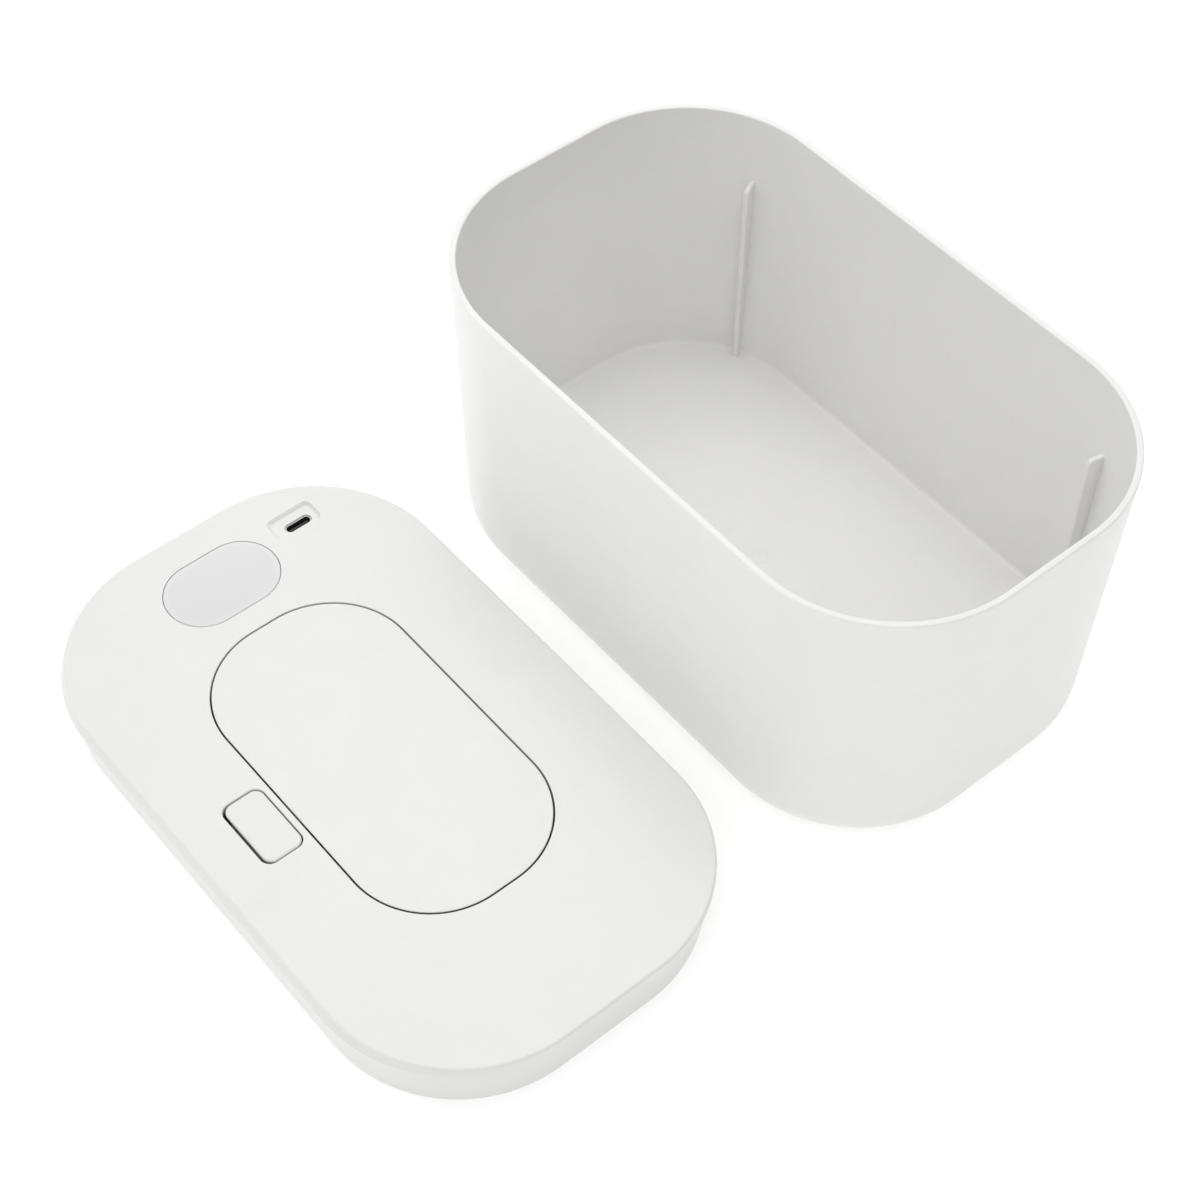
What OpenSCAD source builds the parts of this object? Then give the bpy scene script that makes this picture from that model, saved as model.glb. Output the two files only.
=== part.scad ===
// Baby wipe warmer: an open tub, and a lid that holds the heater, the flip door,
// the latch, the display and the charging socket. The lid lies on the table in
// front of the tub. Millimetres, +Z up. The origin is the centre of the tub's
// anti-slip pad on the table, and the tub's long side runs along X.

/* [Outline] */
// Length of the tub's rim and of the lid's top cover
body_l = 208; // [206:0.5:210]
// Width of the tub's rim and of the lid's top cover
body_w = 123.8; // [123:0.1:125]
// Corner radius of the rim and of the top cover
body_r = 46.3; // [45.5:0.1:47]

/* [Tub] */
// Height of the tub's rim above the table
tub_h = 104; // [102:0.5:108]
// Length of the tub at its base
base_l = 200.5; // [198:0.5:203]
// Width of the tub at its base
base_w = 122; // [120:0.5:123]
// Corner radius of the tub at its base
base_r = 45.2; // [44:0.1:46]
// Radius of the rounded edge under the tub
base_round = 9; // [7:0.5:10]
// Wall thickness at the rim
tub_wall = 2.1; // [2:0.1:2.3]
// Height of the tub's floor inside
floor_z = 5.6; // [5:0.1:6.5]
// Height of the four inner ribs
rib_top = 79.2; // [76:0.4:80]
// How far the ribs stand in from the wall at their top
rib_depth = 4.8; // [3:0.1:5]

/* [Lid] */
// Centre of the lid along X
lid_x = -9.6; // [-12:0.1:-6]
// Centre of the lid along Y
lid_y = -140; // [-145:0.5:-138]
// Height of the lid as it lies on the table
lid_h = 20.8; // [20.8:0.1:20.8]
// Thickness of the top cover's plate
cover_t = 2.6; // [2.6:0.1:2.6]
// Clearance between the lid's lower wall and the tub
plug_gap = 0.55; // [0.5:0.01:0.6]

/* [Door] */
// Length of the flip door
door_l = 115.4; // [115.2:0.1:115.5]
// Width of the flip door
door_w = 62; // [61.8:0.1:62.1]
// Corner radius of the flip door
door_r = 26.9; // [26.6:0.1:27.1]
// Gap around the door
door_gap = 0.55; // [0.5:0.05:0.65]
// Thickness of the door
door_t = 2.2; // [2.2:0.1:2.4]

/* [Controls] */
// Length of the latch button
button_l = 23.3; // [23:0.1:23.5]
// Width of the latch button
button_w = 12.4; // [12:0.1:12.4]
// Length of the display window across the lid
window_l = 37.3; // [36.7:0.1:37.4]
// Width of the display window
window_w = 25; // [24.4:0.1:25.1]

/* [Hidden] */

// Levels in the lid, from the table up
top_z = lid_h;
under_z = lid_h - cover_t;
base_floor_z = 5.8;
board_z = 9.4;
board_t = 1.6;
board_top = board_z + board_t;
// Lower wall of the lid, which slips into the tub
plug_l = body_l - 2*tub_wall - 2*plug_gap;
plug_w = body_w - 2*tub_wall - 2*plug_gap;
plug_r = body_r - tub_wall - plug_gap;
plug_t = 1.9;
// Centre of the door
door_x = -0.45;
door_y = 0.4;
// Hinge line of the door, under the cover behind the door's well
hinge_y = 37.9;
hinge_z = lid_h - 4.6;
pin_r = 0.75;
hook_r = 7.7;
door_under = lid_h - door_t;
// Collar around the wipes
collar_y = -1;
// Centres of the button, the window and the charging socket
button_x = -0.6;
button_y = -39.81;
window_x = -79.5;
window_y = 0.2;
usb_x = -85.25;
usb_y = 32;
cover_screw_at = [[-40, 46], [40, 46], [-40, -46], [40, -46], [84, 26], [84, -26], [-74, -38], [-66, 47]];
heater_screw_at = [[-34, 42], [34, 42], [-34, -42], [34, -42], [90, 0], [-90, 0]];
board_screw_at = [[-68, -22], [-89, -21], [-68, 37]];
spring_at = [-12.4, 12.4];
white = [0.93, 0.93, 0.92];
steel = [0.75, 0.76, 0.78];
silicone = [0.88, 0.88, 0.87];

module in_lid() translate([lid_x, lid_y, 0]) children();

// Rounded rectangle, centred
module rr(l, w, r, fn = 96) {
  square([l - 2*r, w], center = true);
  square([l, w - 2*r], center = true);
  for (sx = [-1, 1], sy = [-1, 1])
    translate([sx*(l/2 - r), sy*(w/2 - r)]) circle(r = r, $fn = fn);
}

// Upright prism with a rounded rectangle as its outline
module rprism(l, w, r, z0, z1)
  translate([0, 0, z0]) linear_extrude(z1 - z0) rr(l, w, r);

// Upright ring between two rounded rectangles that share their corner centres
module rring(l, w, r, t, z0, z1)
  translate([0, 0, z0]) linear_extrude(z1 - z0) difference() {
    rr(l, w, r);
    rr(l - 2*t, w - 2*t, r - t);
  }

// Plate whose upper edge is rounded with radius f
module soft_plate(l, w, r, f, z0, z1) {
  rprism(l, w, r, z0, z1 - f);
  rprism(l - 2*f, w - 2*f, r - f, z0, z1);
  translate([0, 0, z1 - f]) {
    for (sx = [-1, 1], sy = [-1, 1])
      translate([sx*(l/2 - r), sy*(w/2 - r), 0])
        rotate_extrude($fn = 96) translate([r - f, 0]) circle(r = f, $fn = 24);
    for (sy = [-1, 1]) translate([0, sy*(w/2 - f), 0]) rotate([0, 90, 0])
      cylinder(r = f, h = l - 2*r, center = true, $fn = 24);
    for (sx = [-1, 1]) translate([sx*(l/2 - f), 0, 0]) rotate([90, 0, 0])
      cylinder(r = f, h = w - 2*r, center = true, $fn = 24);
  }
}

// One thin layer of a drafted shape
module layer(l, w, r, z) translate([0, 0, z]) linear_extrude(0.02) rr(l, w, r, 56);

// Round rod from p to q
module rod(p, q, r) {
  d = q - p;
  translate(p) rotate([0, acos(d[2]/norm(d)), atan2(d[1], d[0])])
    cylinder(r = r, h = norm(d), $fn = 20);
}

// Closed wire coil along Z from angle a0, with straight legs at its two ends
module coil(r, wire, turns, h, n = 16, s = 6, a0 = 0, legs = [0, 0]) {
  N = n*turns;
  first = legs[0] > 0 ? -1 : 0;
  last = legs[1] > 0 ? N + 1 : N;
  M = last - first;
  pts = [for (i = [first:last], k = [0:s - 1])
    let (j = min(max(i, 0), N), a = a0 + 360*j/n, b = 360*k/s, e = i < 0 ? -legs[0] : i > N ? legs[1] : 0)
      [(r + wire*cos(b))*cos(a) - e*sin(a), (r + wire*cos(b))*sin(a) + e*cos(a), h*j/N + wire*sin(b)]];
  walls = [for (i = [0:M - 1], k = [0:s - 1])
    [i*s + k, (i + 1)*s + k, (i + 1)*s + (k + 1)%s, i*s + (k + 1)%s]];
  caps = [[for (k = [0:s - 1]) k], [for (k = [s - 1:-1:0]) M*s + k]];
  polyhedron(points = pts, faces = concat(walls, caps), convexity = 8);
}

// Outline of the tub at height z, moved in by k
function tub_f(z) = z/tub_h;
function tub_l(z) = base_l + (body_l - base_l)*tub_f(z);
function tub_w(z) = base_w + (body_w - base_w)*tub_f(z);
function tub_r(z) = base_r + (body_r - base_r)*tub_f(z);
module tub_layer(z, k, lw = 0) layer(tub_l(z) - 2*k, tub_w(z) - 2*k, tub_r(z) - k, z);

module tub() color(white) {
  stand = 0.4;
  land = tub_h - 20;
  difference() {
    hull() {
      for (a = [0, 30, 60, 90]) tub_layer(stand + base_round*(1 - cos(a)), base_round*(1 - sin(a)));
      tub_layer(tub_h - 0.52, 0);
      tub_layer(tub_h - 0.02, 0.4);
    }
    // Inside: drafted up to the land that takes the lid's lower wall
    hull() {
      for (a = [0, 45, 90]) tub_layer(floor_z + 2*(1 - cos(a)), 2.2 + 2*(1 - sin(a)));
      layer(body_l - 2*tub_wall - 0.2, body_w - 2*tub_wall - 0.2, body_r - tub_wall - 0.1, land);
    }
    rprism(body_l - 2*tub_wall, body_w - 2*tub_wall, body_r - tub_wall, land, tub_h + 1);
    // Recess for the anti-slip pad
    rprism(base_l - 26, base_w - 26, base_r - 13, -1, floor_z - 2.4);
    // Ring left by the mould in the middle of the floor
    translate([-3, 0.9, floor_z - 0.15]) linear_extrude(1) difference() {
      circle(r = 2.7, $fn = 48);
      circle(r = 2.3, $fn = 48);
    }
  }
  // Ribs that keep the wipes clear of the corners
  for (sx = [-1, 1], sy = [-1, 1])
    translate([sx*(body_l/2 - body_r), sy*(body_w/2 - body_r), 0])
      rotate([0, 0, sy*(91 - sx*21.3)]) rib();
}

// Blade rib, drawn outward along X from the corner's centre
module rib() {
  rin = body_r - tub_wall - rib_depth;
  rotate([90, 0, 0]) translate([0, 0, -0.8]) linear_extrude(1.6)
    polygon([[rin, floor_z - 0.5], [body_r - 3.4, floor_z - 0.5], [body_r - 1.2, rib_top],
      [rin + 0.7, rib_top - 0.7], [rin, rib_top - 1.6]]);
}

module base_pad() color([0.55, 0.56, 0.57])
  rprism(base_l - 26.5, base_w - 26.5, base_r - 13.25, 0, floor_z - 2.6);

module lid_cover() color(white) in_lid() {
  difference() {
    union() {
      soft_plate(body_l, body_w, body_r, 0.8, under_z, top_z);
      // Wall of the door's well
      translate([door_x, door_y, 0])
        rprism(door_l + 2*door_gap + 3, door_w + 2*door_gap + 3, door_r + door_gap + 1.5, base_floor_z + 0.2, under_z + 0.1);
      // Screw posts
      for (p = cover_screw_at) translate([p[0], p[1], base_floor_z + 0.2])
        cylinder(r = 3, h = under_z - base_floor_z, $fn = 32);
      // Cup under the charging pocket
      translate([usb_x - 0.8, usb_y - 0.6, 0]) rprism(11.4, 19, 3, under_z - 1.4, under_z + 0.1);
      // Lugs that hold the hinge pin
      for (x = [-30, -20, 20, 30]) translate([x, hinge_y, hinge_z]) {
        rotate([0, 90, 0]) cylinder(r = 1.8, h = 2.8, center = true, $fn = 40);
        translate([-1.4, -1.8, 0]) cube([2.8, 3.6, under_z - hinge_z + 0.1]);
      }
    }
    // Door opening
    translate([door_x, door_y, 0]) rprism(door_l + 2*door_gap, door_w + 2*door_gap, door_r + door_gap, 1, top_z + 1);
    // Slots in the well's rear wall for the door's hooks, and the pin's bore
    for (s = [-1, 1]) translate([s*25 - 3.4, door_y + door_w/2 + door_gap - 0.6, 5]) cube([6.8, 3.2, under_z - 5]);
    translate([0, hinge_y, hinge_z]) rotate([0, 90, 0]) cylinder(r = pin_r, h = 80, center = true, $fn = 32);
    // Window, button, charging pocket and its slot
    translate([window_x, window_y, 0]) rprism(window_w + 0.3, window_l + 0.3, window_w/2 + 0.13, under_z - 1, top_z + 1);
    translate([button_x, button_y, 0]) rprism(button_l + 0.9, button_w + 1.25, 3.3, under_z - 0.01, top_z + 1);
    hull() {
      translate([usb_x - 1.1, usb_y - 0.8, top_z]) linear_extrude(0.5) rr(8.4, 15.6, 1.9, 32);
      translate([usb_x - 1.05, usb_y - 0.75, top_z - 1.3]) linear_extrude(0.1) rr(7, 14.2, 1.5, 32);
    }
    translate([usb_x, usb_y, 0]) rprism(3.5, 9.2, 1.7, under_z - 2, top_z);
    // Slot for the latch slider
    translate([button_x - 7.6, door_y - door_w/2 - door_gap - 1.8, 11.9]) cube([15.2, 2.6, 2.4]);
    // Groove for the lid's seal
    rring(body_l - 1.3, body_w - 1.3, body_r - 0.65, 1.2, under_z - 0.5, under_z + 0.7);
    // Pilot holes
    for (p = cover_screw_at) translate([p[0], p[1], 1]) cylinder(r = 1.12, h = 13, $fn = 24);
  }
}

module lid_base() color(white) in_lid() {
  difference() {
    union() {
      // Lower wall, with a small chamfer at its foot
      rring(plug_l, plug_w, plug_r, plug_t, 0.6, under_z);
      rring(plug_l - 0.8, plug_w - 0.8, plug_r - 0.4, plug_t - 0.4, 0, 0.7);
      // Floor
      rprism(plug_l - 2, plug_w - 2, plug_r - 1, 4, base_floor_z);
      // Collar around the wipes
      translate([0, collar_y, 0]) rprism(92, 44, 20, 0.6, 16.5);
      // Bed for the latch slider
      translate([button_x - 9.5, -48.5, base_floor_z - 0.1]) cube([19, 14.8, 6.4]);
      for (s = [-1, 1]) translate([button_x + s*8.4 - 1.1, -48.5, 12]) cube([2.2, 14.8, 2.6]);
      // Seats and guide pins of the button's springs
      for (s = spring_at) translate([button_x + s, button_y, base_floor_z - 0.1]) {
        cylinder(r = 2.4, h = 4.9, $fn = 32);
        cylinder(r = 1, h = 6.5, $fn = 24);
      }
      // Posts for the heater's and the board's screws
      for (p = heater_screw_at) translate([p[0], p[1], base_floor_z - 0.1]) cylinder(r = 2.5, h = 3.3, $fn = 32);
      for (p = board_screw_at) translate([p[0], p[1], base_floor_z - 0.1]) cylinder(r = 2.5, h = board_z - base_floor_z + 0.1, $fn = 32);
    }
    // Inside of the collar, with a ledge for the mouth
    translate([0, collar_y, 0]) {
      rprism(88, 40, 18, 10.5, 20);
      rprism(84, 36, 16, 5, 12);
      rprism(88, 40, 18, -1, 9);
    }
    // Pocket for the button's finger
    translate([button_x - 4.8, -39.5, 8.5]) cube([9.6, 6, 6]);
    // Screw holes
    for (p = cover_screw_at) translate([p[0], p[1], 0]) cylinder(r = 1.3, h = 8, $fn = 24);
    for (p = heater_screw_at) translate([p[0], p[1], 0]) cylinder(r = 1.02, h = 8.6, $fn = 24);
    for (p = board_screw_at) translate([p[0], p[1], 6.4]) cylinder(r = 0.92, h = 4, $fn = 24);
    // Openings for the sensor and the heater's wires
    translate([-62, -30, 3]) cylinder(r = 2.2, h = 4, $fn = 32);
    translate([-62, -11, 3]) cylinder(r = 2.4, h = 4, $fn = 32);
  }
}

module lid_seal() color([0.8, 0.81, 0.82]) in_lid()
  rring(body_l - 1.4, body_w - 1.4, body_r - 0.7, 1.1, under_z - 0.3, under_z + 0.65);

// Pan-head screw, its head's underside at the origin and its shank along +Z
module screw(head_r, head_h, shank_r, shank_l) {
  difference() {
    translate([0, 0, -head_h]) cylinder(r = head_r, h = head_h, $fn = 32);
    translate([0, 0, -head_h - 0.01]) {
      translate([-head_r*0.55, -0.2, 0]) cube([head_r*1.1, 0.4, head_h*0.6]);
      translate([-0.2, -head_r*0.55, 0]) cube([0.4, head_r*1.1, head_h*0.6]);
    }
  }
  translate([0, 0, -0.01]) cylinder(r = shank_r, h = shank_l, $fn = 24);
}

module lid_screws() color(steel) in_lid()
  for (p = cover_screw_at) translate([p[0], p[1], 4]) screw(2.2, 1.1, 1.1, 9);

module heater_screws() color(steel) in_lid()
  for (p = heater_screw_at) translate([p[0], p[1], 1.4]) screw(1.9, 0.9, 1, 6.8);

module board_screws() color(steel) in_lid()
  for (p = board_screw_at) translate([p[0], p[1], board_top]) rotate([180, 0, 0]) screw(1.8, 1.2, 0.9, 4.2);

module heater_plate() color([0.82, 0.83, 0.84]) in_lid() difference() {
  rprism(190, 106, 37, 1.4, 2.4);
  translate([0, collar_y, 0]) rprism(93.4, 45.4, 20.7, 1, 3);
  for (p = heater_screw_at) translate([p[0], p[1], 1]) cylinder(r = 1.15, h = 2, $fn = 24);
}

module heater_film() color([0.85, 0.5, 0.15]) in_lid() difference() {
  rprism(184, 100, 34, 2.45, 2.7);
  translate([0, collar_y, 0]) rprism(98, 50, 23, 2, 3);
  for (p = heater_screw_at) translate([p[0], p[1], 2]) cylinder(r = 1.5, h = 2, $fn = 24);
}

module insulation_pad() color([0.3, 0.3, 0.32]) in_lid() difference() {
  rprism(190, 106, 37, 2.75, 3.95);
  translate([0, collar_y, 0]) rprism(94, 46, 21, 2, 5);
  for (p = heater_screw_at) translate([p[0], p[1], 2]) cylinder(r = 1.6, h = 3, $fn = 24);
  for (p = cover_screw_at) translate([p[0], p[1], 2]) cylinder(r = 2.6, h = 3, $fn = 24);
  translate([-62, -30, 2]) cylinder(r = 2.4, h = 3, $fn = 24);
  translate([-62, -11, 2]) cylinder(r = 2.4, h = 3, $fn = 24);
  translate([-66.5, 27.5, 2]) cube([9, 5, 3]);
}

module temperature_sensor() color([0.12, 0.12, 0.13]) in_lid()
  translate([-62, -30, 4.5]) sphere(r = 1.5, $fn = 32);

module sensor_leads() color([0.72, 0.45, 0.25]) in_lid()
  for (s = [-1, 1]) {
    rod([-62, -30 + s*0.7, 6.4], [-62, -30 + s*0.7, 8], 0.25);
    rod([-62, -30 + s*0.7, 7.9], [-65, -25.2 + s*0.7, board_z - 0.35], 0.25);
  }

module thermal_cutoff() color([0.85, 0.82, 0.75]) in_lid()
  translate([-66, 28, 2.75]) cube([8, 4, 1.15]);

module heater_wires() color([0.75, 0.1, 0.1]) in_lid()
  for (y = [-12.2, -9.8]) {
    translate([-67, y, 13.3]) rotate([0, 90, 0]) cylinder(r = 0.5, h = 5, $fn = 24);
    translate([-62, y, 2.75]) cylinder(r = 0.6, h = 11.4, $fn = 24);
  }

module main_circuit_board() color([0.1, 0.4, 0.25]) in_lid() difference() {
  intersection() {
    translate([-95, -26, board_z]) cube([31, 68, board_t]);
    rprism(plug_l - 2*plug_t - 4, plug_w - 2*plug_t - 4, plug_r - plug_t - 2, board_z - 1, board_top + 1);
  }
  for (p = board_screw_at) translate([p[0], p[1], board_z - 1]) cylinder(r = 1.1, h = 4, $fn = 24);
}

module control_chip() color([0.13, 0.13, 0.14]) in_lid() {
  translate([-72.5, 21.2, board_top + 0.1]) cube([5, 6.2, 1.5]);
  for (s = [-1, 1], i = [0:7])
    translate([-72.2 + i*0.61, 24.3 + s*3.5 - 0.5, board_top]) cube([0.3, 1, 0.8]);
}

module board_capacitors() color([0.35, 0.37, 0.42]) in_lid()
  for (y = [6, 12]) translate([-66.6, y, board_top]) cylinder(r = 2, h = 5, $fn = 32);

module heater_connector() color([0.92, 0.9, 0.85]) in_lid()
  translate([-70, -15, board_top]) difference() {
    cube([5.3, 8, 4.6]);
    translate([1, 1, 1]) cube([5, 6, 2.6]);
  }

module display_module() color([0.9, 0.9, 0.88]) in_lid()
  translate([window_x - 9, window_y - 12, board_top]) difference() {
    cube([18, 24, 5.5]);
    for (i = [0:2]) translate([3, 3 + i*6.4, 1]) cube([12, 5.2, 6]);
  }

module display_window() color([0.86, 0.86, 0.9]) in_lid() translate([window_x, window_y, 0]) {
  rprism(window_w, window_l, window_w/2 - 0.02, under_z - 0.1, top_z - 0.05);
  rprism(window_w + 4, window_l + 4, window_w/2 + 1.9, under_z - 1.2, under_z - 0.05);
}

module touch_springs() color([0.8, 0.65, 0.3]) in_lid()
  for (s = [-1, 1]) translate([window_x, window_y + s*15.6, board_top + 0.3])
    coil(2, 0.25, 5, 5.4, 16, 6);

module usb_socket_shell() color(steel) in_lid() translate([usb_x, usb_y, board_top])
  linear_extrude(8) difference() {
    rr(3.26, 8.94, 1.62);
    rr(2.56, 8.34, 1.27);
  }

module usb_socket_tongue() color([0.08, 0.08, 0.09]) in_lid() translate([usb_x, usb_y, board_top]) {
  linear_extrude(1.2) rr(2.5, 8.28, 1.24);
  translate([-0.35, -3.35, 1]) cube([0.7, 6.7, 6.2]);
}

module dispensing_mouth() color(silicone) in_lid() translate([0, collar_y, 0]) difference() {
  union() {
    rprism(87.6, 39.6, 17.8, 10.5, 11.9);
    rring(87.6, 39.6, 17.8, 2.4, 10.5, 13.4);
    rring(66, 16, 7.9, 1.6, 10.5, 13);
  }
  rprism(62.6, 12.6, 6.2, 9, 14);
}

module flip_door() color(white) in_lid() difference() {
  union() {
    // Thin-edged plate with a step below it, which clears the rim as the door swings
    translate([door_x, door_y, 0]) {
      soft_plate(door_l, door_w, door_r, 0.28, top_z - 0.6, top_z);
      rprism(door_l - 1.6, door_w - 1.6, door_r - 0.8, door_under, top_z - 0.5);
    }
    // Hooks that reach round the rim to the hinge pin
    for (s = [-1, 1]) translate([s*25, hinge_y, hinge_z]) rotate([90, 0, 90]) translate([0, 0, -2.8]) {
      rotate([0, 0, 158]) rotate_extrude(angle = 130, $fn = 96) translate([hook_r, 0]) square([1.8, 5.6]);
      rotate([0, 0, 278]) translate([0, -0.95, 0.1]) cube([hook_r + 1, 1.9, 5.4]);
      cylinder(r = 1.75, h = 5.6, $fn = 40);
    }
    // Bar between the hooks, on which the spring pushes
    translate([0, hinge_y - 0.38, hinge_z - 3.08]) rotate([0, 90, 0]) cylinder(r = 0.8, h = 45, center = true, $fn = 24);
    // Catch at the front edge
    translate([button_x - 6, -29.9, 10.9]) cube([12, 1.4, door_under - 10.8]);
    translate([button_x - 6, -30.4, 10.9]) cube([12, 0.6, 1.1]);
  }
  for (s = [-1, 1]) translate([s*25, hinge_y, hinge_z]) rotate([0, 90, 0])
    cylinder(r = pin_r + 0.05, h = 20, center = true, $fn = 32);
}

module door_liner() color(white) in_lid() difference() {
  translate([0, -2.4, 0]) rprism(104, 49, 22, door_under - 1.2, door_under);
  translate([0, -2.4, 0]) rprism(80, 26, 11, door_under - 1.3, door_under - 0.5);
}

module door_seal() color(silicone) in_lid() translate([0, collar_y, 0])
  rring(93, 45, 20.5, 3, 16.6, door_under - 1.2);

module hinge_pin() color(steel) in_lid()
  translate([0, hinge_y, hinge_z]) rotate([0, 90, 0]) cylinder(r = pin_r, h = 62.8, center = true, $fn = 32);

module door_spring() color(steel) in_lid()
  translate([-5.5, hinge_y, hinge_z]) rotate([0, 90, 0])
    coil(1.45, 0.25, 133/18, 11, n = 18, a0 = 180, legs = [4, 3.6]);

module latch_button() color(white) in_lid() translate([button_x, button_y, 0]) {
  difference() {
    translate([-0.05, 0.28, 0]) soft_plate(button_l, button_w, 3, 0.5, 17, top_z);
    translate([-0.05, 0.28, 0]) rprism(button_l - 2.4, button_w - 2.4, 2, 16, 19.3);
  }
  // Wings that hold the button under the cover
  for (s = [-1, 1]) translate([s*11.9 - 2.9, -2.2, 16.6]) cube([5.8, 4.4, 1]);
  // Slanted finger that drives the slider
  rotate([90, 0, 90]) translate([0, 0, -4.2]) linear_extrude(8.4)
    polygon([for (p = [[-25 - 19.4, 19.4], [-22.8 - 19.4, 19.4], [-22.8 - 11.2, 11.2], [-25 - 11.2, 11.2]]) [p[0] - button_y, p[1]]]);
}

module button_springs() color(steel) in_lid()
  for (s = spring_at) translate([button_x + s, button_y, 10.9]) coil(1.6, 0.25, 5, 5.4, 16, 6);

module latch_slider() color([0.8, 0.8, 0.78]) in_lid() translate([button_x, 0, 0]) difference() {
  translate([-7, -45, 12.3]) cube([14, 14, 1.6]);
  // Slanted slot for the button's finger
  rotate([90, 0, 90]) translate([0, 0, -4.6]) linear_extrude(9.2)
    polygon([[-25.25 - 15, 15], [-22.55 - 15, 15], [-22.55 - 11, 11], [-25.25 - 11, 11]]);
}

tub();
base_pad();
lid_cover();
lid_base();
lid_seal();
lid_screws();
heater_plate();
heater_film();
insulation_pad();
heater_screws();
temperature_sensor();
sensor_leads();
thermal_cutoff();
heater_wires();
main_circuit_board();
board_screws();
control_chip();
board_capacitors();
heater_connector();
display_module();
display_window();
touch_springs();
usb_socket_shell();
usb_socket_tongue();
dispensing_mouth();
flip_door();
door_liner();
door_seal();
hinge_pin();
door_spring();
latch_button();
button_springs();
latch_slider();
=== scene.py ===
import bpy, bmesh, math
from mathutils import Vector, Matrix


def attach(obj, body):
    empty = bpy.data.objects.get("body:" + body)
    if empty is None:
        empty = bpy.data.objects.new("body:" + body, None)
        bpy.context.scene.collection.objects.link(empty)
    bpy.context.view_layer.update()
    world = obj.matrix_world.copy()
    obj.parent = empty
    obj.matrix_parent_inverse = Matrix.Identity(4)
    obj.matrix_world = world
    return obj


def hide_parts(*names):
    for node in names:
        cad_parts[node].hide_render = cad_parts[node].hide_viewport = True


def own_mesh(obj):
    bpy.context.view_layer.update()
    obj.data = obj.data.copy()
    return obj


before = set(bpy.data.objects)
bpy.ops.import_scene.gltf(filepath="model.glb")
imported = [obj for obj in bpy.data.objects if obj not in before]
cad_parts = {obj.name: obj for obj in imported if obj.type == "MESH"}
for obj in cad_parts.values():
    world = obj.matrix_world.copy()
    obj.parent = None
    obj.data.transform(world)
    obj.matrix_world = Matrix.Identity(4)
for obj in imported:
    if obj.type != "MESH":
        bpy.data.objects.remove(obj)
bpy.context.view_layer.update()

MM = 0.001
LX, LY = -9.6, -140.0          # the lid's centre in the frame
COL = bpy.context.scene.collection

# ---------------------------------------------------------------- mesh helpers


def ring_pts(cx, cy, l, w, r, n=20, s=10):
    """Rounded rectangle, counter-clockwise, n steps a corner and s steps a side."""
    r = max(r, 0.02)
    pts = []
    corners = [(1, 1, 0), (-1, 1, 90), (-1, -1, 180), (1, -1, 270)]
    for i, (sx, sy, a0) in enumerate(corners):
        x0, y0 = cx + sx * (l / 2 - r), cy + sy * (w / 2 - r)
        for k in range(n + 1):
            a = math.radians(a0 + 90.0 * k / n)
            pts.append((x0 + r * math.cos(a), y0 + r * math.sin(a)))
        # points along the straight side up to the next corner
        sx2, sy2, b0 = corners[(i + 1) % 4]
        x1, y1 = cx + sx2 * (l / 2 - r), cy + sy2 * (w / 2 - r)
        a = math.radians(b0)
        q = (x1 + r * math.cos(a), y1 + r * math.sin(a))
        p = pts[-1]
        for k in range(1, s):
            t = k / s
            pts.append((p[0] + (q[0] - p[0]) * t, p[1] + (q[1] - p[1]) * t))
    return pts


class Build:
    """A mesh in millimetres, made of rings joined by quads and of flat fills."""

    def __init__(self):
        self.bm = bmesh.new()

    def ring(self, pts, z):
        return [self.bm.verts.new((x, y, z(x, y) if callable(z) else z)) for x, y in pts]

    def join(self, a, b):
        n = len(a)
        for i in range(n):
            j = (i + 1) % n
            try:
                self.bm.faces.new((a[i], a[j], b[j], b[i]))
            except ValueError:
                pass

    def stack(self, base, prof, n=20, s=10):
        """base (cx, cy, l, w, r); prof a list of (offset outward, z). Returns the first and last ring."""
        cx, cy, l, w, r = base
        rings = []
        for off, z in prof:
            rings.append(self.ring(ring_pts(cx, cy, l + 2 * off, w + 2 * off, r + off, n, s), z))
        for a, b in zip(rings, rings[1:]):
            self.join(a, b)
        return rings[0], rings[-1]

    def loft(self, specs, n=20, s=10):
        """specs: a list of (cx, cy, l, w, r, z)."""
        rings = [self.ring(ring_pts(*q[:5], n, s), q[5]) for q in specs]
        for a, b in zip(rings, rings[1:]):
            self.join(a, b)
        return rings[0], rings[-1]

    def cap(self, ring):
        self.bm.faces.new(ring)

    def fill(self, *rings):
        edges = []
        for ring in rings:
            for i in range(len(ring)):
                a, b = ring[i], ring[(i + 1) % len(ring)]
                e = self.bm.edges.get((a, b)) or self.bm.edges.new((a, b))
                edges.append(e)
        bmesh.ops.triangle_fill(self.bm, use_beauty=True, use_dissolve=False, edges=edges)

    def object(self, name, offset=(0, 0, 0), weld=0.0005):
        bm = self.bm
        if weld:
            bmesh.ops.remove_doubles(bm, verts=bm.verts, dist=weld)
        bmesh.ops.recalc_face_normals(bm, faces=bm.faces)
        bm.transform(Matrix.Translation(offset))
        bm.transform(Matrix.Scale(MM, 4))
        me = bpy.data.meshes.new(name)
        bm.to_mesh(me)
        bm.free()
        ob = bpy.data.objects.new(name, me)
        COL.objects.link(ob)
        return ob


def arc(cx, cz, r, a0, a1, n):
    """Points of an arc in (offset, z)."""
    return [(cx + r * math.cos(math.radians(a0 + (a1 - a0) * k / n)),
             cz + r * math.sin(math.radians(a0 + (a1 - a0) * k / n))) for k in range(n + 1)]


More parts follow.
